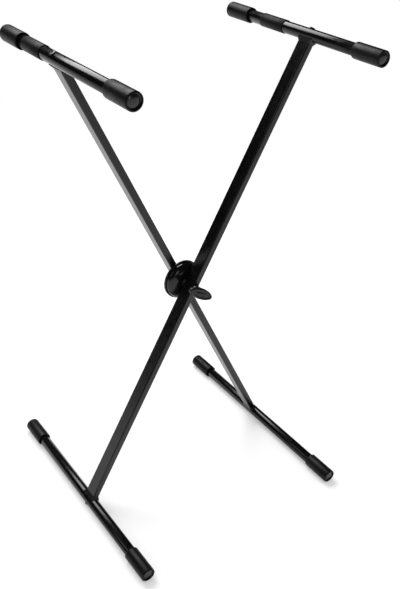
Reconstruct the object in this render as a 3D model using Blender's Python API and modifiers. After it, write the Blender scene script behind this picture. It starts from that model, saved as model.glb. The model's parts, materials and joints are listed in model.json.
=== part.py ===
"""Single-braced X keyboard stand, built from separate pieces.

The two legs cross at a clutch. X runs across the X shape, Y from the knob
side (-Y) to the back, and Z up. The origin is on the floor, under the pivot.
All sizes are in metres.
"""
import math

import bmesh
import bpy

# Stance
HALF_ANGLE = math.radians(27.75)
UPPER_REACH = 0.500
LOWER_REACH = 0.495

# Legs, rectangular tube
LEG_WIDTH = 0.014
LEG_DEPTH = 0.028
LEG_WALL = 0.0015
LEG_CORNER = 0.0025
CLUTCH_SPACE = 0.019

# Bars, round tube
BAR_RADIUS = 0.011
BAR_WALL = 0.0015
TOP_BAR_OVERALL = 0.400
FOOT_BAR_OVERALL = 0.496

# Rubber end caps
CAP_WALL = 0.003
CAP_LENGTH = 0.062
CAP_END = 0.005
CAP_EDGE = 0.0015
CAP_MOUTH = 0.0015
CAP_RIM = 0.003
CAP_RECESS = 0.0015

# Rubber sleeves that slide on the top bars
SLEEVE_WALL = 0.0009
SLEEVE_LENGTH = 0.062
REAR_SLEEVE_Y = 0.092
FRONT_SLEEVE_Y = 0.070

# Saddle plugs between a leg's end and its bar
SADDLE_FLOOR = 0.005
SADDLE_LAND = 0.0015
SADDLE_FLARE = 0.005
SADDLE_TOP_DROP = 0.008
PLUG_LENGTH = 0.020

# Fasteners of the bars
BOLT_RADIUS = 0.003
BOLT_HEAD_RADIUS = 0.0060
BOLT_HEAD_HEIGHT = 0.0018
BOLT_TIP = 0.0015
NUT_ACROSS_FLATS = 0.0098
NUT_HEIGHT = 0.005

# Pivot
PIVOT_RADIUS = 0.004
PIVOT_HEAD_RADIUS = 0.009
PIVOT_HEAD_HEIGHT = 0.0044
NECK_SIDE = 0.008
NECK_LENGTH = 0.0035
SPACER_WALL = 0.0008
WASHER_RADIUS = 0.0085
WASHER_THICKNESS = 0.0015

# Clutch
PLATE_RADIUS = 0.040
PLATE_THICKNESS = 0.005
PLATE_EDGE = 0.0012
TOOTH_COUNT = 16
TOOTH_HEIGHT = 0.0012
TOOTH_INNER = 0.016
TOOTH_OUTER = 0.028
TOOTH_SEAT = 0.002
DISC_RADIUS = 0.030
DISC_THICKNESS = 0.003
BOSS_RADIUS = 0.010
POCKET_RADIUS = 0.0085
POCKET_FLOOR = 0.003
COVER_RADIUS = 0.037
COVER_WALL = 0.0016
COVER_CROWN = 0.012
COVER_SKIRT = 0.0024
SPRING_WIRE = 0.0008
SPRING_TURNS = 4

# Knob
HUB_RADIUS = 0.0092
HUB_LENGTH = 0.011
WING_LENGTH = 0.060
WING_HEIGHT = 0.022
WING_THICKNESS = 0.010
WING_ROUNDING = 0.003
WING_TILT = math.radians(33.0)
INSERT_ACROSS_FLATS = 0.0125
INSERT_HEIGHT = 0.0065
STUD_SPARE = 0.0015

# Clearance between pieces that touch or run in each other
GAP = 0.0003

# Facets round a turned piece
ROUND_STEPS = 20
SMALL_STEPS = 16
COVER_STEPS = 24

# Derived sizes
CAP_RADIUS = BAR_RADIUS + GAP + CAP_WALL
HALF_FACET = math.pi / ROUND_STEPS
CAP_FLAT = CAP_RADIUS * math.cos(HALF_FACET)
PIVOT_HEIGHT = LOWER_REACH * math.cos(HALF_ANGLE) + CAP_FLAT
LEG_OFFSET = CLUTCH_SPACE / 2 + LEG_DEPTH / 2
LEG_SETBACK = BAR_RADIUS + GAP + SADDLE_FLOOR
BOLT_HOLE = BOLT_RADIUS + GAP
PIVOT_HOLE = PIVOT_RADIUS + GAP
INNER_FACE = CLUTCH_SPACE / 2
OUTER_FACE = INNER_FACE + LEG_DEPTH
LINE_Y = (math.radians(-90.0), 0.0, 0.0)


def clear_scene():
    """Remove every object of the open scene."""
    for item in list(bpy.data.objects):
        bpy.data.objects.remove(item, do_unlink=True)


def new_collection(name):
    """Make a collection in the scene."""
    group = bpy.data.collections.new(name)
    bpy.context.scene.collection.children.link(group)
    return group


def finish_material(name, colour, roughness, metallic):
    """Make one Principled material."""
    material = bpy.data.materials.new(name)
    material.use_nodes = True
    shader = material.node_tree.nodes["Principled BSDF"]
    shader.inputs["Base Color"].default_value = (*colour, 1.0)
    shader.inputs["Roughness"].default_value = roughness
    shader.inputs["Metallic"].default_value = metallic
    return material


clear_scene()
PARTS = new_collection("keyboard_stand")
CUTTERS = new_collection("cutters")
COAT = finish_material("black_powder_coat", (0.012, 0.012, 0.013), 0.42, 0.0)
GLOSS = finish_material("gloss_black_coat", (0.008, 0.008, 0.009), 0.22, 0.0)
RUBBER = finish_material("black_rubber", (0.030, 0.030, 0.031), 0.75, 0.0)
PLASTIC = finish_material("black_plastic", (0.010, 0.010, 0.010), 0.45, 0.0)
SHINY = finish_material("gloss_black_plastic", (0.006, 0.006, 0.006), 0.15, 0.0)
STEEL = finish_material("zinc_steel", (0.55, 0.56, 0.58), 0.35, 1.0)
DARK_STEEL = finish_material("black_steel", (0.03, 0.03, 0.032), 0.35, 1.0)


def add_empty(name, parent, location, turn):
    """Add an empty that carries pieces, turned about its own Y axis."""
    empty = bpy.data.objects.new(name, None)
    PARTS.objects.link(empty)
    empty.parent = parent
    empty.location = location
    empty.rotation_euler = (0.0, turn, 0.0)
    return empty


def add_piece(name, mesh, parent, material, location=(0, 0, 0), rotation=(0, 0, 0)):
    """Add a mesh object as a piece of the stand."""
    piece = bpy.data.objects.new(name, mesh)
    PARTS.objects.link(piece)
    piece.parent = parent
    piece.location = location
    piece.rotation_euler = rotation
    mesh.materials.append(material)
    return piece


def add_tool(name, mesh, piece, location=(0, 0, 0), rotation=(0, 0, 0)):
    """Add a Boolean tool that stands in the frame of the piece's parent."""
    tool = bpy.data.objects.new(name, mesh)
    CUTTERS.objects.link(tool)
    tool.parent = piece.parent
    tool.location = location
    tool.rotation_euler = rotation
    tool.hide_render = True
    tool.display_type = "WIRE"
    return tool


def combine(piece, tool, operation):
    """Cut or join a piece with a tool."""
    step = piece.modifiers.new(tool.name, "BOOLEAN")
    step.operation = operation
    step.solver = "EXACT"
    step.object = tool


def add_screw(piece, steps):
    """Turn a piece's profile about its own Z axis."""
    screw = piece.modifiers.new("turn", "SCREW")
    screw.steps = steps
    screw.render_steps = steps
    screw.use_merge_vertices = True
    screw.merge_threshold = 0.00001


def profile_mesh(name, profile, closed):
    """Make a line mesh from (radius, height) points."""
    points = [(radius, 0.0, height) for radius, height in profile]
    edges = [(index, index + 1) for index in range(len(points) - 1)]
    if closed:
        edges.append((len(points) - 1, 0))
    mesh = bpy.data.meshes.new(name)
    mesh.from_pydata(points, edges, [])
    return mesh


def turned(name, profile, closed, parent, material, steps=ROUND_STEPS, location=(0, 0, 0), rotation=(0, 0, 0)):
    """Add a turned piece."""
    piece = add_piece(name, profile_mesh(name, profile, closed), parent, material, location, rotation)
    add_screw(piece, steps)
    return piece


def turned_tool(name, profile, closed, piece, steps=SMALL_STEPS, location=(0, 0, 0), rotation=(0, 0, 0)):
    """Add a turned Boolean tool."""
    tool = add_tool(name, profile_mesh(name, profile, closed), piece, location, rotation)
    add_screw(tool, steps)
    return tool


def rod_profile(radius, low, high):
    """Profile of a plain solid rod."""
    return [(0.0, high), (radius, high), (radius, low), (0.0, low)]


def ring_profile(outer, inner, low, high):
    """Profile of a plain ring or tube."""
    return [(outer, high), (outer, low), (inner, low), (inner, high)]


def drill(piece, name, radius, low, high, location=(0, 0, 0), rotation=(0, 0, 0)):
    """Drill a round hole through a piece."""
    tool = turned_tool(name, rod_profile(radius, low, high), False, piece, SMALL_STEPS, location, rotation)
    combine(piece, tool, "DIFFERENCE")


def block_mesh(name, size, corner=0.0, segments=2):
    """Make a block about its centre, with its upright edges rounded."""
    block = bmesh.new()
    bmesh.ops.create_cube(block, size=1.0)
    bmesh.ops.scale(block, vec=size, verts=block.verts)
    if corner:
        upright = [edge for edge in block.edges if abs(edge.verts[0].co.z - edge.verts[1].co.z) > size[2] / 2]
        bmesh.ops.bevel(block, geom=upright, offset=corner, segments=segments, profile=0.5, affect="EDGES")
    mesh = bpy.data.meshes.new(name)
    block.to_mesh(mesh)
    block.free()
    return mesh


def prism_mesh(name, across_flats, height):
    """Make a hexagonal prism from its across-flats size, standing on z = 0."""
    radius = across_flats / 2 / math.cos(math.pi / 6)
    prism = bmesh.new()
    bmesh.ops.create_cone(prism, cap_ends=True, segments=6, radius1=radius, radius2=radius, depth=height)
    bmesh.ops.translate(prism, vec=(0.0, 0.0, height / 2), verts=prism.verts)
    mesh = bpy.data.meshes.new(name)
    prism.to_mesh(mesh)
    prism.free()
    return mesh


def add_leg(name, frame, side):
    """Add a rectangular leg tube, drilled for the pivot."""
    top = UPPER_REACH - LEG_SETBACK
    bottom = LOWER_REACH - LEG_SETBACK
    mesh = block_mesh(name, (LEG_WIDTH, LEG_DEPTH, top + bottom), LEG_CORNER, 3)
    shell = bmesh.new()
    shell.from_mesh(mesh)
    ends = [face for face in shell.faces if abs(face.normal.z) > 0.9]
    bmesh.ops.delete(shell, geom=ends, context="FACES_ONLY")
    for band in (-PLATE_RADIUS, PLATE_RADIUS):
        place = (0.0, 0.0, band - (top - bottom) / 2)
        everything = shell.verts[:] + shell.edges[:] + shell.faces[:]
        bmesh.ops.bisect_plane(shell, geom=everything, dist=0.000001, plane_co=place, plane_no=(0.0, 0.0, 1.0))
    shell.to_mesh(mesh)
    shell.free()
    leg = add_piece(name, mesh, frame, COAT, (0.0, side * LEG_OFFSET, (top - bottom) / 2))
    wall = leg.modifiers.new("wall", "SOLIDIFY")
    wall.thickness = LEG_WALL
    wall.offset = -1.0
    wall.use_even_offset = True
    drill(leg, name + "_bore", PIVOT_HOLE, -2 * OUTER_FACE, 2 * OUTER_FACE, rotation=LINE_Y)
    return leg


def cap_profile(inner_end, outer_end):
    """Profile of a blind rubber cap; its mouth is low and its end is high."""
    bore = BAR_RADIUS + GAP
    rim = CAP_RADIUS - CAP_RIM
    return [
        (0.0, outer_end - CAP_RECESS),
        (rim, outer_end - CAP_RECESS),
        (rim, outer_end),
        (CAP_RADIUS - CAP_EDGE, outer_end),
        (CAP_RADIUS, outer_end - CAP_EDGE),
        (CAP_RADIUS, inner_end + CAP_EDGE),
        (CAP_RADIUS - CAP_EDGE / 2, inner_end),
        (bore + CAP_MOUTH / 2, inner_end),
        (bore, inner_end + CAP_MOUTH),
        (bore, outer_end - CAP_END),
        (0.0, outer_end - CAP_END),
    ]


def add_bar(name, joint, leg_side, overall, turn):
    """Add a round bar with a rubber cap on each end."""
    half = overall / 2
    shift = -leg_side * LEG_OFFSET
    tube_half = half - CAP_END - GAP
    tube = ring_profile(BAR_RADIUS, BAR_RADIUS - BAR_WALL, -tube_half, tube_half)
    roll = HALF_FACET - turn
    bar = turned(name, tube, True, joint, GLOSS, ROUND_STEPS, (0.0, shift, 0.0), (LINE_Y[0], roll, 0.0))
    drill(bar, name + "_bolt_hole", BOLT_HOLE, -2 * BAR_RADIUS, 2 * BAR_RADIUS)
    profile = cap_profile(half - CAP_LENGTH, half)
    for place, angle in (("back_cap", -90.0), ("near_cap", 90.0)):
        spin = (math.radians(angle), roll, 0.0)
        turned(name + "_" + place, profile, False, joint, RUBBER, ROUND_STEPS, (0.0, shift, 0.0), spin)
    return bar


def add_saddle(name, joint):
    """Add the plug that closes a leg's end and cradles its bar."""
    floor = -LEG_SETBACK + GAP
    top = -SADDLE_TOP_DROP
    cradle = BAR_RADIUS + GAP
    half_width = math.sqrt(cradle ** 2 - SADDLE_TOP_DROP ** 2) + SADDLE_LAND
    flare = bmesh.new()
    bmesh.ops.create_cube(flare, size=1.0)
    for corner in flare.verts:
        upper = corner.co.z > 0
        across = half_width if upper else LEG_WIDTH / 2
        along = LEG_DEPTH / 2 + (SADDLE_FLARE if upper else 0.0)
        corner.co.x = math.copysign(across, corner.co.x)
        corner.co.y = math.copysign(along, corner.co.y)
        corner.co.z = top if upper else floor
    upright = [edge for edge in flare.edges if abs(edge.verts[0].co.z - edge.verts[1].co.z) > GAP]
    bmesh.ops.bevel(flare, geom=upright, offset=LEG_CORNER, segments=2, profile=0.5, affect="EDGES")
    mesh = bpy.data.meshes.new(name)
    flare.to_mesh(mesh)
    flare.free()
    saddle = add_piece(name, mesh, joint, PLASTIC)
    inside = LEG_WALL + GAP
    overlap = 0.001
    size = (LEG_WIDTH - 2 * inside, LEG_DEPTH - 2 * inside, PLUG_LENGTH + overlap)
    plug = block_mesh(name + "_plug", size, LEG_CORNER - LEG_WALL, 1)
    plug_tool = add_tool(name + "_plug", plug, saddle, (0.0, 0.0, floor + overlap - size[2] / 2))
    combine(saddle, plug_tool, "UNION")
    seat = rod_profile(cradle, -LEG_DEPTH, LEG_DEPTH)
    seat_tool = turned_tool(name + "_seat", seat, False, saddle, 2 * ROUND_STEPS, rotation=LINE_Y)
    combine(saddle, seat_tool, "DIFFERENCE")
    drill(saddle, name + "_bolt_way", BOLT_HOLE, -2 * PLUG_LENGTH - LEG_SETBACK, BAR_RADIUS)
    return saddle


def add_bolt(name, joint):
    """Add the domed bolt and the nut that hold a bar on its leg."""
    seat = BAR_RADIUS + GAP
    nut_top = -LEG_SETBACK + GAP - PLUG_LENGTH - GAP
    tip = nut_top - NUT_HEIGHT - BOLT_TIP
    profile = [(0.0, seat + BOLT_HEAD_HEIGHT)]
    dome_steps = 3
    for step in range(dome_steps):
        angle = math.radians(60.0 - 60.0 * step / (dome_steps - 1))
        profile.append((BOLT_HEAD_RADIUS * math.cos(angle), seat + BOLT_HEAD_HEIGHT * math.sin(angle)))
    profile += [(BOLT_RADIUS, seat), (BOLT_RADIUS, tip), (0.0, tip)]
    turned(name, profile, False, joint, DARK_STEEL, SMALL_STEPS)
    nut_mesh = prism_mesh(name + "_nut", NUT_ACROSS_FLATS, NUT_HEIGHT)
    nut = add_piece(name + "_nut", nut_mesh, joint, STEEL, (0.0, 0.0, nut_top - NUT_HEIGHT))
    drill(nut, name + "_nut_bore", BOLT_HOLE, nut_top - 2 * NUT_HEIGHT, nut_top + NUT_HEIGHT)


def add_leg_set(title, frame, side, turn):
    """Add one leg with both of its bars, saddles, bolts and caps."""
    leg = add_leg(title + "_leg", frame, side)
    ends = (("top_bar", 1, UPPER_REACH, TOP_BAR_OVERALL), ("foot_bar", -1, LOWER_REACH, FOOT_BAR_OVERALL))
    for place, way, reach, overall in ends:
        upended = 0.0 if way > 0 else math.pi
        name = title + "_" + place
        joint = add_empty(name + "_joint", frame, (0.0, side * LEG_OFFSET, way * reach), upended)
        add_bar(name, joint, side, overall, turn + upended)
        add_saddle(name + "_saddle", joint)
        add_bolt(name + "_bolt", joint)
    return leg


def add_spacer(name, frame, near, far):
    """Add the tube that keeps a leg from being crushed at the pivot."""
    inner = PIVOT_RADIUS + GAP / 2
    profile = ring_profile(inner + SPACER_WALL, inner, min(near, far), max(near, far))
    turned(name, profile, True, frame, STEEL, SMALL_STEPS, rotation=LINE_Y)


def add_sleeve(name, rail, turn):
    """Add a rubber sleeve about the origin of its rail."""
    inner = BAR_RADIUS + GAP
    profile = ring_profile(inner + SLEEVE_WALL, inner, -SLEEVE_LENGTH / 2, SLEEVE_LENGTH / 2)
    turned(name, profile, True, rail, RUBBER, ROUND_STEPS, rotation=(LINE_Y[0], HALF_FACET - turn, 0.0))


def crown_mesh(name, base, low, high):
    """Make a ring of radial teeth, with its flat back at base."""
    crown = bmesh.new()
    corners = []
    count = 2 * TOOTH_COUNT
    for index in range(count):
        angle = math.tau * index / count
        height = high if index % 2 else low
        ring = [(TOOTH_OUTER, height), (TOOTH_OUTER, base), (TOOTH_INNER, base), (TOOTH_INNER, height)]
        place = [(r * math.cos(angle), r * math.sin(angle), z) for r, z in ring]
        corners.append([crown.verts.new(point) for point in place])
    for index in range(count):
        here = corners[index]
        there = corners[(index + 1) % count]
        for side in range(4):
            after = (side + 1) % 4
            crown.faces.new((here[side], here[after], there[after], there[side]))
    bmesh.ops.recalc_face_normals(crown, faces=crown.faces)
    mesh = bpy.data.meshes.new(name)
    crown.to_mesh(mesh)
    crown.free()
    return mesh


def add_rear_plate(frame):
    """Add the toothed plate on the rear leg's inner face."""
    back = INNER_FACE - GAP
    face = back - PLATE_THICKNESS
    profile = [
        (PLATE_RADIUS - PLATE_EDGE, back),
        (PLATE_RADIUS, back - PLATE_EDGE),
        (PLATE_RADIUS, face + PLATE_EDGE),
        (PLATE_RADIUS - PLATE_EDGE, face),
        (PIVOT_HOLE, face),
        (PIVOT_HOLE, back),
    ]
    plate = turned("rear_clutch_plate", profile, True, frame, PLASTIC, COVER_STEPS, rotation=LINE_Y)
    root = face - TOOTH_SEAT
    crown = crown_mesh("rear_teeth", face + TOOTH_HEIGHT, root, root - TOOTH_HEIGHT)
    combine(plate, add_tool("rear_teeth", crown, plate, rotation=LINE_Y), "UNION")
    return root - TOOTH_HEIGHT


def add_front_disc(frame, rear_tip):
    """Add the toothed disc that turns with the front leg."""
    tip = rear_tip - GAP
    face = tip - TOOTH_HEIGHT
    back = face - DISC_THICKNESS
    boss = -INNER_FACE + GAP
    floor = boss + POCKET_FLOOR
    profile = [
        (DISC_RADIUS, face),
        (DISC_RADIUS, back),
        (BOSS_RADIUS, back),
        (BOSS_RADIUS, boss),
        (PIVOT_HOLE, boss),
        (PIVOT_HOLE, floor),
        (POCKET_RADIUS, floor),
        (POCKET_RADIUS, face),
    ]
    disc = turned("front_clutch_disc", profile, True, frame, STEEL, COVER_STEPS, rotation=LINE_Y)
    crown = crown_mesh("front_teeth", face - TOOTH_HEIGHT, face, tip)
    combine(disc, add_tool("front_teeth", crown, disc, rotation=LINE_Y), "UNION")
    return floor


def add_cover(frame):
    """Add the domed cover that hides the clutch."""
    rim = INNER_FACE - GAP - PLATE_THICKNESS - GAP
    crown = -INNER_FACE + GAP
    shoulder = rim - COVER_SKIRT
    steps = 5

    def arc(wall, order):
        points = []
        for index in order:
            angle = math.pi / 2 * index / steps
            radius = COVER_CROWN + (COVER_RADIUS - COVER_CROWN - wall) * math.cos(angle)
            height = shoulder - (shoulder - crown - wall) * math.sin(angle)
            points.append((radius, height))
        return points

    hole = BOSS_RADIUS + GAP
    profile = [(COVER_RADIUS, rim)] + arc(0.0, range(steps + 1))
    profile += [(hole, crown), (hole, crown + COVER_WALL)]
    profile += arc(COVER_WALL, range(steps, -1, -1)) + [(COVER_RADIUS - COVER_WALL, rim)]
    turned("clutch_cover", profile, True, frame, SHINY, COVER_STEPS, rotation=LINE_Y)


def add_spring(frame, pocket_floor):
    """Add the coil spring that parts the clutch when the knob is slack."""
    radius = (PIVOT_HOLE + POCKET_RADIUS) / 2
    low = pocket_floor + GAP + SPRING_WIRE
    high = INNER_FACE - GAP - PLATE_THICKNESS - GAP - SPRING_WIRE
    curve = bpy.data.curves.new("clutch_spring", "CURVE")
    curve.dimensions = "3D"
    curve.bevel_depth = SPRING_WIRE
    curve.bevel_resolution = 1
    curve.use_fill_caps = True
    points_per_turn = 10
    count = SPRING_TURNS * points_per_turn
    line = curve.splines.new("POLY")
    line.points.add(count)
    for index in range(count + 1):
        angle = math.tau * index / points_per_turn
        along = low + (high - low) * index / count
        line.points[index].co = (radius * math.cos(angle), along, radius * math.sin(angle), 1.0)
    curve.materials.append(STEEL)
    spring = bpy.data.objects.new("clutch_spring", curve)
    PARTS.objects.link(spring)
    spring.parent = frame


def hub_start():
    """Place along Y where the knob's hub begins."""
    return -(OUTER_FACE + GAP + WASHER_THICKNESS + GAP)


def add_pivot_bolt(frame):
    """Add the square-necked bolt from the rear leg to the knob."""
    seat = OUTER_FACE + GAP
    tip = hub_start() - HUB_LENGTH - WING_THICKNESS / 2
    profile = [
        (0.0, seat + PIVOT_HEAD_HEIGHT),
        (PIVOT_HEAD_RADIUS * 0.5, seat + PIVOT_HEAD_HEIGHT * 0.87),
        (PIVOT_HEAD_RADIUS * 0.87, seat + PIVOT_HEAD_HEIGHT * 0.5),
        (PIVOT_HEAD_RADIUS, seat),
        (PIVOT_RADIUS, seat),
        (PIVOT_RADIUS, tip),
        (0.0, tip),
    ]
    bolt = turned("pivot_bolt", profile, False, frame, DARK_STEEL, SMALL_STEPS, rotation=LINE_Y)
    neck_mesh = block_mesh("neck", (NECK_SIDE, NECK_LENGTH + PIVOT_HEAD_HEIGHT / 2, NECK_SIDE))
    neck = add_tool("neck", neck_mesh, bolt, (0.0, seat - NECK_LENGTH / 2 + PIVOT_HEAD_HEIGHT / 4, 0.0))
    combine(bolt, neck, "UNION")


def cut_neck_hole(leg):
    """Cut the square hole of the pivot bolt's neck in the rear leg."""
    side = NECK_SIDE + 2 * GAP
    hole = add_tool("neck_hole", block_mesh("neck_hole", (side, 4 * LEG_WALL, side)), leg, (0.0, OUTER_FACE, 0.0))
    combine(leg, hole, "DIFFERENCE")


def add_washer(frame):
    """Add the washer between the front leg and the knob."""
    high = -OUTER_FACE - GAP
    profile = ring_profile(WASHER_RADIUS, PIVOT_HOLE, high - WASHER_THICKNESS, high)
    turned("knob_washer", profile, True, frame, DARK_STEEL, SMALL_STEPS, rotation=LINE_Y)


def wing_mesh(name):
    """Make the knob's oval wing, flat in the plane across its axis."""
    wing = bmesh.new()
    bmesh.ops.create_cone(wing, cap_ends=True, segments=28, radius1=0.5, radius2=0.5, depth=1.0)
    bmesh.ops.scale(wing, vec=(WING_LENGTH, WING_HEIGHT, WING_THICKNESS), verts=wing.verts)
    rims = [edge for edge in wing.edges if abs(edge.verts[0].co.z - edge.verts[1].co.z) < GAP]
    bmesh.ops.bevel(wing, geom=rims, offset=WING_ROUNDING, segments=2, profile=0.5, affect="EDGES")
    mesh = bpy.data.meshes.new(name)
    wing.to_mesh(mesh)
    wing.free()
    return mesh


def add_knob(frame):
    """Add the wing knob and the hexagonal insert in its hub."""
    start = hub_start()
    hub_end = start - HUB_LENGTH
    profile = rod_profile(HUB_RADIUS, hub_end - WING_THICKNESS / 2, start)
    knob = turned("wing_knob", profile, False, frame, PLASTIC, COVER_STEPS, rotation=LINE_Y)
    wing_place = (0.0, hub_end - WING_THICKNESS / 2, 0.0)
    wing = add_tool("wing", wing_mesh("wing"), knob, wing_place, LINE_Y)
    combine(knob, wing, "UNION")
    bore_end = hub_end - WING_THICKNESS / 2 - STUD_SPARE
    drill(knob, "knob_bore", PIVOT_HOLE, bore_end, start + GAP, rotation=LINE_Y)
    pocket_mesh = prism_mesh("insert_pocket", INSERT_ACROSS_FLATS + 2 * GAP, INSERT_HEIGHT + 2 * GAP)
    pocket = add_tool("insert_pocket", pocket_mesh, knob, (0.0, start - INSERT_HEIGHT - GAP, 0.0), LINE_Y)
    combine(knob, pocket, "DIFFERENCE")
    insert_mesh = prism_mesh("knob_insert", INSERT_ACROSS_FLATS, INSERT_HEIGHT)
    insert = add_piece("knob_insert", insert_mesh, frame, STEEL, (0.0, start - INSERT_HEIGHT, 0.0), LINE_Y)
    drill(insert, "insert_bore", PIVOT_HOLE, start - 2 * INSERT_HEIGHT, start + INSERT_HEIGHT, rotation=LINE_Y)


def build():
    """Build the whole stand."""
    pivot = (0.0, 0.0, PIVOT_HEIGHT)
    rear = add_empty("rear_leg_frame", None, pivot, -HALF_ANGLE)
    front = add_empty("front_leg_frame", None, pivot, HALF_ANGLE)
    knob = add_empty("knob_frame", None, pivot, WING_TILT)
    rear_leg = add_leg_set("rear", rear, 1, -HALF_ANGLE)
    add_leg_set("front", front, -1, HALF_ANGLE)
    cut_neck_hole(rear_leg)
    add_spacer("rear_leg_spacer", rear, INNER_FACE + LEG_WALL + GAP, OUTER_FACE - NECK_LENGTH - GAP)
    add_spacer("front_leg_spacer", front, -INNER_FACE - LEG_WALL - GAP, -OUTER_FACE + LEG_WALL + GAP)
    rear_rail = add_empty("rear_sleeve_rail", rear, (0.0, REAR_SLEEVE_Y, UPPER_REACH), 0.0)
    front_rail = add_empty("front_sleeve_rail", front, (0.0, FRONT_SLEEVE_Y, UPPER_REACH), 0.0)
    add_sleeve("rear_bar_sleeve", rear_rail, -HALF_ANGLE)
    add_sleeve("front_bar_sleeve", front_rail, HALF_ANGLE)
    rear_tip = add_rear_plate(rear)
    pocket_floor = add_front_disc(front, rear_tip)
    add_cover(front)
    add_spring(rear, pocket_floor)
    add_pivot_bolt(rear)
    add_washer(rear)
    add_knob(knob)


build()
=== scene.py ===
"""Looks of the X keyboard stand: smooth pieces, procedural finishes, studio light and camera."""

import json
import math

import bmesh
import bpy
from mathutils import Matrix, Vector


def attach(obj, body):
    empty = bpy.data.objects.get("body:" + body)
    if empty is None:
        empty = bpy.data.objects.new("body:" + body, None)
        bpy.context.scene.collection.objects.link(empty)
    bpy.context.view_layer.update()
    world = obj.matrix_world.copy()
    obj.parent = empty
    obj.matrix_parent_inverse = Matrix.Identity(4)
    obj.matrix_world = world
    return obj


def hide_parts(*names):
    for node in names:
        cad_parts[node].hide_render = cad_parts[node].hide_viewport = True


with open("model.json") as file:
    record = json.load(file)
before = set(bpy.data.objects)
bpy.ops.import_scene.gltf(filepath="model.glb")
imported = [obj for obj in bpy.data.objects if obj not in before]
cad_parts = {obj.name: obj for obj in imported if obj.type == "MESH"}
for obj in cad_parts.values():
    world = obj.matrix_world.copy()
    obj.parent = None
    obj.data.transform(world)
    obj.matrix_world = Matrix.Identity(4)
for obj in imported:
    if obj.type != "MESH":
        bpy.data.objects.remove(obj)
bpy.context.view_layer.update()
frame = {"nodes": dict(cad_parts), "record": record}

# Stance, in metres and radians, as in the CAD
HALF_ANGLE = math.radians(27.75)
UPPER_REACH = 0.500
LOWER_REACH = 0.495
LEG_OFFSET = 0.0235
REAR_SLEEVE_Y = 0.092
FRONT_SLEEVE_Y = 0.070
WING_TILT = math.radians(33.0)
FOLD = next(joint for joint in frame["record"]["behaviour"]["joints"] if joint["name"] == "fold")
PIVOT_HEIGHT = FOLD["pos_m"][2]

# Turned pieces, in millimetres. A cap is as wide here as over its flats in the CAD.
MM = 0.001
TOP_HALF = 200.0
FOOT_HALF = 248.0
BAR_RADIUS = 10.9
BAR_BORE = 9.5
BAR_SETBACK = 5.3
CAP_RADIUS = 14.12
CAP_BORE = 11.25
CAP_LENGTH = 62.0
CAP_FLOOR = 5.0
SLEEVE_RADIUS = 12.1
SLEEVE_BORE = 11.25
SLEEVE_HALF = 31.0
BOLT_TIP = -42.8
BOLT_SEAT = 11.3
COVER_CROWN = 12.0
COVER_SPREAD = 24.8
COVER_SHOULDER = 1.5
COVER_RISE = 10.7
COVER_WALL = 1.6
COVER_RIM = 3.9
COVER_HOLE = 10.3

# Facets round a piece, and the angle above which its edges stay sharp
ROUND_STEPS = 96
BOLT_STEPS = 40
COVER_STEPS = 128
COVER_ARC_STEPS = 18
SHARP_ANGLE = math.radians(38.0)

# How much finer the uneven gloss is than the patches of colour
SMEAR_SCALE = 5.0

# Camera, fitted to the ends of the bars
CAMERA_PLACE = Vector((-0.73978, -1.0272, 0.75709 + PIVOT_HEIGHT))
CAMERA_AZIMUTH = math.radians(37.248)
CAMERA_ELEVATION = math.radians(31.869)
CAMERA_ROLL = math.radians(3.1705)
CAMERA_LENS = 46.872

# Studio
WHITE = (1.0, 1.0, 1.0, 1.0)
FLOOR_SEEN = (0.94, 0.94, 0.94, 1.0)
FLOOR_REFLECTED = (0.82, 0.82, 0.82, 1.0)
FLOOR_HALF = 14.0
FLOOR_DROP = 0.0004
ROOM_LIGHT = 0.72
ROOM_REFLECTED = 0.02


# Finishes

def noise(tree, coords, scale, detail):
    """Add noise measured in the object's own metres."""
    texture = tree.nodes.new("ShaderNodeTexNoise")
    texture.inputs["Scale"].default_value = scale
    texture.inputs["Detail"].default_value = detail
    tree.links.new(coords.outputs["Object"], texture.inputs["Vector"])
    return texture


def add_colour(tree, shader, coords, patch, dark, light):
    """Let the colour drift between two tones in soft patches."""
    patches = noise(tree, coords, patch, detail=5.0)
    ramp = tree.nodes.new("ShaderNodeValToRGB")
    low, high = ramp.color_ramp.elements
    low.position = 0.36
    low.color = (*dark, 1.0)
    high.position = 0.68
    high.color = (*light, 1.0)
    tree.links.new(patches.outputs["Fac"], ramp.inputs["Fac"])
    tree.links.new(ramp.outputs["Color"], shader.inputs["Base Color"])


def add_gloss(tree, shader, coords, patch, rough):
    """Let the roughness drift between two values in smaller patches."""
    smears = noise(tree, coords, patch * SMEAR_SCALE, detail=7.0)
    gloss = tree.nodes.new("ShaderNodeMapRange")
    gloss.inputs["From Min"].default_value = 0.3
    gloss.inputs["From Max"].default_value = 0.7
    gloss.inputs["To Min"].default_value = rough[0]
    gloss.inputs["To Max"].default_value = rough[1]
    tree.links.new(smears.outputs["Fac"], gloss.inputs["Value"])
    tree.links.new(gloss.outputs["Result"], shader.inputs["Roughness"])


def add_grain(tree, shader, coords, grain, bump, depth):
    """Raise a fine grain on the surface."""
    fine = noise(tree, coords, grain, detail=3.0)
    relief = tree.nodes.new("ShaderNodeBump")
    relief.inputs["Strength"].default_value = bump
    relief.inputs["Distance"].default_value = depth
    tree.links.new(fine.outputs["Fac"], relief.inputs["Height"])
    tree.links.new(relief.outputs["Normal"], shader.inputs["Normal"])


def finish(
    name, dark, light, rough, metallic=0.0, patch=18.0, grain=900.0, bump=0.12, depth=0.00004, specular=0.5
):
    """A finish with soft patches of colour, uneven gloss and a fine grain."""
    material = bpy.data.materials.new(name)
    material.use_nodes = True
    tree = material.node_tree
    shader = tree.nodes["Principled BSDF"]
    coords = tree.nodes.new("ShaderNodeTexCoord")
    add_colour(tree, shader, coords, patch, dark, light)
    add_gloss(tree, shader, coords, patch, rough)
    add_grain(tree, shader, coords, grain, bump, depth)
    shader.inputs["Specular IOR Level"].default_value = specular
    shader.inputs["Metallic"].default_value = metallic
    return material


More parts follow.
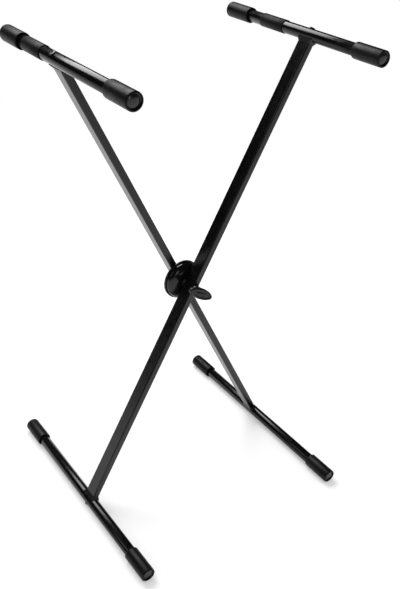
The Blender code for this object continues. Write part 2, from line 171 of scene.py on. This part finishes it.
def grey(value):
    """A neutral colour."""
    return (value, value, value * 1.03)


def rubber_finish(name, rough, grain, specular):
    """A dark, soft rubber with a coarse grain."""
    return finish(
        name, grey(0.002), grey(0.006), rough, grain=grain, bump=0.35, depth=0.00008, specular=specular
    )


COAT = finish("powder_coat", grey(0.001), grey(0.003), (0.17, 0.25), grain=1400.0, bump=0.22)
GLOSS = finish("gloss_coat", grey(0.0015), grey(0.0035), (0.16, 0.23), grain=260.0, bump=0.06, specular=0.36)
RUBBER = rubber_finish("cap_rubber", (0.36, 0.50), 1600.0, 0.18)
DISH = finish("cap_dish", grey(0.002), grey(0.006), (0.20, 0.30), grain=1200.0, bump=0.25, specular=0.7)
SLEEVE = rubber_finish("sleeve_rubber", (0.42, 0.56), 1800.0, 0.16)
PLASTIC = finish(
    "moulded_plastic", grey(0.003), grey(0.008), (0.28, 0.42), grain=1500.0, bump=0.3, specular=0.4
)
SHINY = finish("shiny_plastic", grey(0.0015), grey(0.003), (0.15, 0.22), grain=200.0, bump=0.05)
STEEL = finish("zinc_steel", (0.42, 0.43, 0.45), (0.62, 0.63, 0.64), (0.25, 0.42), metallic=1.0, patch=60.0)
DARK = finish("black_steel", grey(0.010), grey(0.020), (0.26, 0.38), metallic=0.3, patch=60.0)
SLOT_FINISH = {
    "powder_coat": COAT, "gloss_coat": GLOSS, "rubber": RUBBER, "plastic": PLASTIC,
    "gloss_plastic": SHINY, "zinc_steel": STEEL, "black_steel": DARK,
}


def repaint_frame():
    """Give each CAD node the finish of its slot."""
    slots = {entry["node"]: entry["material_slot"] for entry in frame["record"]["subparts"]}
    for name, node in frame["nodes"].items():
        wanted = SLOT_FINISH[slots[name]]
        if not node.material_slots:
            node.data.materials.append(wanted)
        for place in node.material_slots:
            place.link = "OBJECT"
            place.material = wanted


# Shapes

def add_ring(mesh_edit, ring, steps):
    """Add the points of one ring, or the one point where a profile meets the axis."""
    across, up, along = ring
    if across == 0.0:
        return [mesh_edit.verts.new((0.0, along * MM, 0.0))]
    points = []
    for index in range(steps):
        angle = math.tau * index / steps
        place = (across * MM * math.cos(angle), along * MM, up * MM * math.sin(angle))
        points.append(mesh_edit.verts.new(place))
    return points


def join_rings(mesh_edit, first, second, steps, finish_index):
    """Fill the band between two neighbouring rings."""
    for index in range(steps):
        after = (index + 1) % steps
        if len(first) == 1:
            corners = (first[0], second[index], second[after])
        elif len(second) == 1:
            corners = (first[index], second[0], first[after])
        else:
            corners = (first[index], second[index], second[after], first[after])
        face = mesh_edit.faces.new(corners)
        face.material_index = finish_index


def turned(name, rings, matrix, finishes, body, node, steps=ROUND_STEPS, loop=False, second_from=None):
    """Replace a CAD node with a smooth piece.

    rings are (radius across, radius up, place along Y), in millimetres. A loop joins its last ring to its
    first. second_from is the ring from which the second finish is used.
    """
    mesh_edit = bmesh.new()
    loops = [add_ring(mesh_edit, ring, steps) for ring in rings]
    pairs = list(zip(loops, loops[1:]))
    if loop:
        pairs.append((loops[-1], loops[0]))
    for order, (first, second) in enumerate(pairs):
        finish_index = 1 if second_from and order >= second_from else 0
        join_rings(mesh_edit, first, second, steps, finish_index)
    bmesh.ops.recalc_face_normals(mesh_edit, faces=mesh_edit.faces)
    mesh = bpy.data.meshes.new(name)
    mesh_edit.to_mesh(mesh)
    mesh_edit.free()
    mesh.transform(matrix)
    mesh.shade_smooth()
    mesh.set_sharp_from_angle(angle=SHARP_ANGLE)
    for material in finishes:
        mesh.materials.append(material)
    piece = bpy.data.objects.new(name, mesh)
    bpy.context.scene.collection.objects.link(piece)
    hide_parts(node)
    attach(piece, body)


def round_rings(profile):
    """Rings of a round piece from (radius, place) pairs."""
    return [(radius, radius, along) for radius, along in profile]


def bar_rings(half):
    """Tube of a bar between its caps."""
    end = half - BAR_SETBACK
    edge = 0.3
    lip = BAR_RADIUS - 0.2
    profile = [
        (BAR_BORE, -end), (BAR_BORE, end), (lip, end),
        (BAR_RADIUS, end - edge), (BAR_RADIUS, edge - end), (lip, -end),
    ]
    return round_rings(profile)


def cap_rings(half):
    """Rubber cap with a soft mouth and a shallow dish in its end, and the ring where the dish starts."""
    mouth = half - CAP_LENGTH
    wall = [
        (0.0, half - CAP_FLOOR), (CAP_BORE, half - CAP_FLOOR), (CAP_BORE, mouth + 0.9), (11.7, mouth + 0.25),
        (12.5, mouth), (13.4, mouth + 0.15), (13.9, mouth + 0.6), (CAP_RADIUS, mouth + 1.6),
        (CAP_RADIUS, half - 2.4), (13.9, half - 1.2), (13.3, half - 0.45), (12.6, half - 0.1), (11.9, half),
        (11.4, half - 0.2),
    ]
    dish = [
        (11.1, half - 0.8), (10.9, half - 2.4), (10.2, half - 2.9), (9.3, half - 2.6), (7.6, half - 1.9),
        (5.2, half - 1.4), (2.6, half - 1.15), (0.0, half - 1.1),
    ]
    return round_rings(wall + dish), len(wall)


def sleeve_rings():
    """Thin rubber sleeve with softened ends."""
    edge = 0.5
    lip = SLEEVE_RADIUS - 0.3
    profile = [
        (SLEEVE_BORE, -SLEEVE_HALF), (SLEEVE_BORE, SLEEVE_HALF), (lip, SLEEVE_HALF),
        (SLEEVE_RADIUS, SLEEVE_HALF - edge), (SLEEVE_RADIUS, edge - SLEEVE_HALF), (lip, -SLEEVE_HALF),
    ]
    return round_rings(profile)


def bolt_rings():
    """Low domed bolt with a socket in its head."""
    shank = [(0.0, BOLT_TIP), (2.6, BOLT_TIP), (2.95, BOLT_TIP + 0.5), (2.95, BOLT_SEAT)]
    head = [
        (5.9, BOLT_SEAT), (6.0, 11.5), (5.8, 11.9), (5.2, 12.3), (4.2, 12.6), (3.0, 12.75), (2.1, 12.8),
    ]
    socket = [(2.0, 12.6), (1.95, 11.8), (0.0, 11.7)]
    return round_rings(shank + head + socket)


def cover_arc(wall):
    """The cover's dome, or its inner side one wall below."""
    points = []
    for index in range(COVER_ARC_STEPS + 1):
        angle = math.pi / 2 * index / COVER_ARC_STEPS
        radius = COVER_CROWN + (COVER_SPREAD - wall) * math.cos(angle)
        along = COVER_SHOULDER - (COVER_RISE - wall) * math.sin(angle)
        points.append((radius, along))
    return points


def cover_rings():
    """Glossy dome over the clutch, with a hole in its crown."""
    rim_radius = COVER_CROWN + COVER_SPREAD
    top = COVER_SHOULDER - COVER_RISE
    edge = 0.2
    rim = [(rim_radius - 2 * edge, COVER_RIM), (rim_radius, COVER_RIM - 2 * edge)]
    hole = [(COVER_HOLE + edge, top), (COVER_HOLE, top + edge), (COVER_HOLE, top + COVER_WALL)]
    inner_rim = [(rim_radius - COVER_WALL, COVER_RIM)]
    return round_rings(rim + cover_arc(0.0) + hole + cover_arc(COVER_WALL)[::-1] + inner_rim)


def knob_rings():
    """Hub and oval wing of the knob, with a raised rim and a ridge on its face."""
    bore = [(0.0, 0.0, -57.1), (4.3, 4.3, -57.1), (4.3, 4.3, -46.5)]
    pocket = [(7.7, 7.7, -46.5), (7.7, 7.7, -39.6)]
    hub = [(8.7, 8.7, -39.6), (9.15, 9.15, -40.1), (9.15, 9.15, -47.5), (9.8, 9.2, -49.2), (12.5, 9.2, -50.4)]
    back = [(20.0, 9.2, -50.9), (26.0, 9.4, -51.2), (28.6, 9.9, -52.0)]
    side = [(29.6, 10.6, -53.4), (29.9, 10.9, -55.2), (29.8, 10.8, -57.2), (29.2, 10.2, -59.0)]
    rim = [(28.2, 9.2, -60.2), (27.2, 8.2, -60.55), (26.2, 7.2, -60.3), (25.4, 6.4, -59.6)]
    face = [(24.6, 5.6, -58.9), (20.0, 4.4, -58.7), (14.5, 3.6, -58.8)]
    ridge = [(13.0, 3.0, -59.3), (11.5, 2.4, -60.1), (9.0, 1.6, -60.5), (0.0, 0.0, -60.58)]
    return bore + pocket + hub + back + side + rim + face + ridge


def turn_about_y(angle):
    """A turn about the depth axis."""
    return Matrix.Rotation(angle, 4, "Y")


def build_bar(leg, place, line, side, half, turn):
    """Replace one bar, its two caps and its bolt."""
    body = leg + "_leg"
    name = leg + "_" + place
    turned("tube_" + name, bar_rings(half), line, [GLOSS], body, name, loop=True)
    rings, dish_start = cap_rings(half)
    flipped = line @ Matrix.Rotation(math.pi, 4, "Z")
    for end, end_line in (("_back_cap", line), ("_near_cap", flipped)):
        cap = name + end
        turned("soft_" + cap, rings, end_line, [RUBBER, DISH], body, cap, second_from=dish_start)
    to_leg = Matrix.Translation((0.0, side * LEG_OFFSET, 0.0))
    seat = line @ to_leg @ turn_about_y(turn) @ Matrix.Rotation(math.radians(90.0), 4, "X")
    bolt = name + "_bolt"
    turned("round_" + bolt, bolt_rings(), seat, [DARK], body, bolt, BOLT_STEPS)


def build_pieces():
    """Replace the faceted round pieces with smooth ones."""
    lift = Matrix.Translation((0.0, 0.0, PIVOT_HEIGHT))
    ends = (("top_bar", UPPER_REACH, TOP_HALF, 0.0), ("foot_bar", -LOWER_REACH, FOOT_HALF, math.pi))
    for leg, side, lean in (("rear", 1, -HALF_ANGLE), ("front", -1, HALF_ANGLE)):
        carrier = lift @ turn_about_y(lean)
        for place, reach, half, turn in ends:
            line = carrier @ Matrix.Translation((0.0, 0.0, reach))
            build_bar(leg, place, line, side, half, turn)
    for leg, lean, middle in (("rear", -HALF_ANGLE, REAR_SLEEVE_Y), ("front", HALF_ANGLE, FRONT_SLEEVE_Y)):
        place = lift @ turn_about_y(lean) @ Matrix.Translation((0.0, middle, UPPER_REACH))
        node = leg + "_bar_sleeve"
        turned("soft_" + node, sleeve_rings(), place, [SLEEVE], leg + "_sleeve", node, loop=True)
    cover = "clutch_cover"
    turned("dome", cover_rings(), lift, [SHINY], "front_leg", cover, COVER_STEPS, loop=True)
    wing_place = lift @ turn_about_y(WING_TILT)
    turned("winged_knob", knob_rings(), wing_place, [PLASTIC], "knob", "wing_knob")


# Studio

def mix(tree, factor, first, second):
    """Mix two shaders by a factor."""
    mixer = tree.nodes.new("ShaderNodeMixShader")
    tree.links.new(factor, mixer.inputs["Fac"])
    tree.links.new(first, mixer.inputs[1])
    tree.links.new(second, mixer.inputs[2])
    return mixer.outputs["Shader"]


def fade_from_stand(tree):
    """A factor that grows to 1 with the distance from the stand."""
    coords = tree.nodes.new("ShaderNodeTexCoord")
    reach = tree.nodes.new("ShaderNodeVectorMath")
    reach.operation = "LENGTH"
    fade = tree.nodes.new("ShaderNodeMapRange")
    fade.interpolation_type = "SMOOTHSTEP"
    fade.inputs["From Min"].default_value = 0.7
    fade.inputs["From Max"].default_value = 2.6
    fade.inputs["To Min"].default_value = 0.28
    fade.inputs["To Max"].default_value = 1.0
    tree.links.new(coords.outputs["Object"], reach.inputs[0])
    tree.links.new(reach.outputs["Value"], fade.inputs["Value"])
    return fade.outputs["Result"]


def floor_finish():
    """White floor that keeps the shadow near the stand and fades to plain white far off."""
    material = bpy.data.materials.new("pale_floor")
    material.use_nodes = True
    tree = material.node_tree
    tree.nodes.clear()
    output = tree.nodes.new("ShaderNodeOutputMaterial")
    rays = tree.nodes.new("ShaderNodeLightPath")
    seen = tree.nodes.new("ShaderNodeBsdfDiffuse")
    seen.inputs["Color"].default_value = FLOOR_SEEN
    glow = tree.nodes.new("ShaderNodeEmission")
    reflected = tree.nodes.new("ShaderNodeBsdfDiffuse")
    reflected.inputs["Color"].default_value = FLOOR_REFLECTED
    lit = mix(tree, fade_from_stand(tree), seen.outputs["BSDF"], glow.outputs["Emission"])
    surface = mix(tree, rays.outputs["Is Camera Ray"], reflected.outputs["BSDF"], lit)
    tree.links.new(surface, output.inputs["Surface"])
    return material


def add_floor():
    """Lay a wide floor under the stand."""
    mesh = bpy.data.meshes.new("floor")
    far = FLOOR_HALF
    mesh.from_pydata([(-far, -far, 0), (far, -far, 0), (far, far, 0), (-far, far, 0)], [], [(0, 1, 2, 3)])
    mesh.materials.append(floor_finish())
    floor = bpy.data.objects.new("floor", mesh)
    floor.location = (0.0, 0.0, -FLOOR_DROP)
    bpy.context.scene.collection.objects.link(floor)


def background(tree, strength):
    """A plain white background of one strength."""
    node = tree.nodes.new("ShaderNodeBackground")
    node.inputs["Color"].default_value = WHITE
    node.inputs["Strength"].default_value = strength
    return node.outputs["Background"]


def add_world():
    """Even room light, plain white to the camera and dark in reflections."""
    world = bpy.data.worlds.new("room")
    bpy.context.scene.world = world
    world.use_nodes = True
    tree = world.node_tree
    tree.nodes.clear()
    output = tree.nodes.new("ShaderNodeOutputWorld")
    rays = tree.nodes.new("ShaderNodeLightPath")
    even = background(tree, ROOM_LIGHT)
    mirrored = background(tree, ROOM_REFLECTED)
    room = mix(tree, rays.outputs["Is Glossy Ray"], even, mirrored)
    surface = mix(tree, rays.outputs["Is Camera Ray"], room, background(tree, 1.0))
    tree.links.new(surface, output.inputs["Surface"])


def add_light(name, place, aim, width, height, power):
    """Add a soft box aimed at a point."""
    light = bpy.data.lights.new(name, "AREA")
    light.shape = "RECTANGLE"
    light.size = width
    light.size_y = height
    light.energy = power
    lamp = bpy.data.objects.new(name, light)
    lamp.location = place
    lamp.rotation_euler = (Vector(aim) - Vector(place)).to_track_quat("-Z", "Y").to_euler()
    bpy.context.scene.collection.objects.link(lamp)


def add_lights():
    """Main light high at the back, and two weak ones that draw soft highlights."""
    add_light("back_box", (0.0, 2.0, 2.9), (0.0, 0.0, 0.7), width=2.4, height=1.5, power=85.0)
    add_light("front_box", (-0.3, -2.9, 1.3), (0.0, 0.0, 0.45), width=0.5, height=0.9, power=3.0)
    add_light("left_box", (-2.4, 0.3, 2.0), (0.0, 0.0, 0.6), width=0.7, height=1.2, power=4.0)


def add_camera():
    """Place the camera as it was fitted."""
    level = math.cos(CAMERA_ELEVATION)
    east = math.sin(CAMERA_AZIMUTH) * level
    north = math.cos(CAMERA_AZIMUTH) * level
    ahead = Vector((east, north, -math.sin(CAMERA_ELEVATION)))
    right = ahead.cross(Vector((0.0, 0.0, 1.0))).normalized()
    up = right.cross(ahead)
    across = right * math.cos(CAMERA_ROLL) + up * math.sin(CAMERA_ROLL)
    upward = up * math.cos(CAMERA_ROLL) - right * math.sin(CAMERA_ROLL)
    turn = Matrix((across, upward, -ahead)).transposed().to_4x4()
    data = bpy.data.cameras.new("camera")
    data.lens = CAMERA_LENS
    data.sensor_width = 36.0
    data.sensor_fit = "AUTO"
    data.clip_end = 100.0
    camera = bpy.data.objects.new("camera", data)
    bpy.context.scene.collection.objects.link(camera)
    camera.matrix_world = Matrix.Translation(CAMERA_PLACE) @ turn
    bpy.context.scene.camera = camera


repaint_frame()
build_pieces()
add_floor()
add_world()
add_lights()
add_camera()
bpy.context.scene.view_settings.view_transform = "Standard"
bpy.context.view_layer.update()
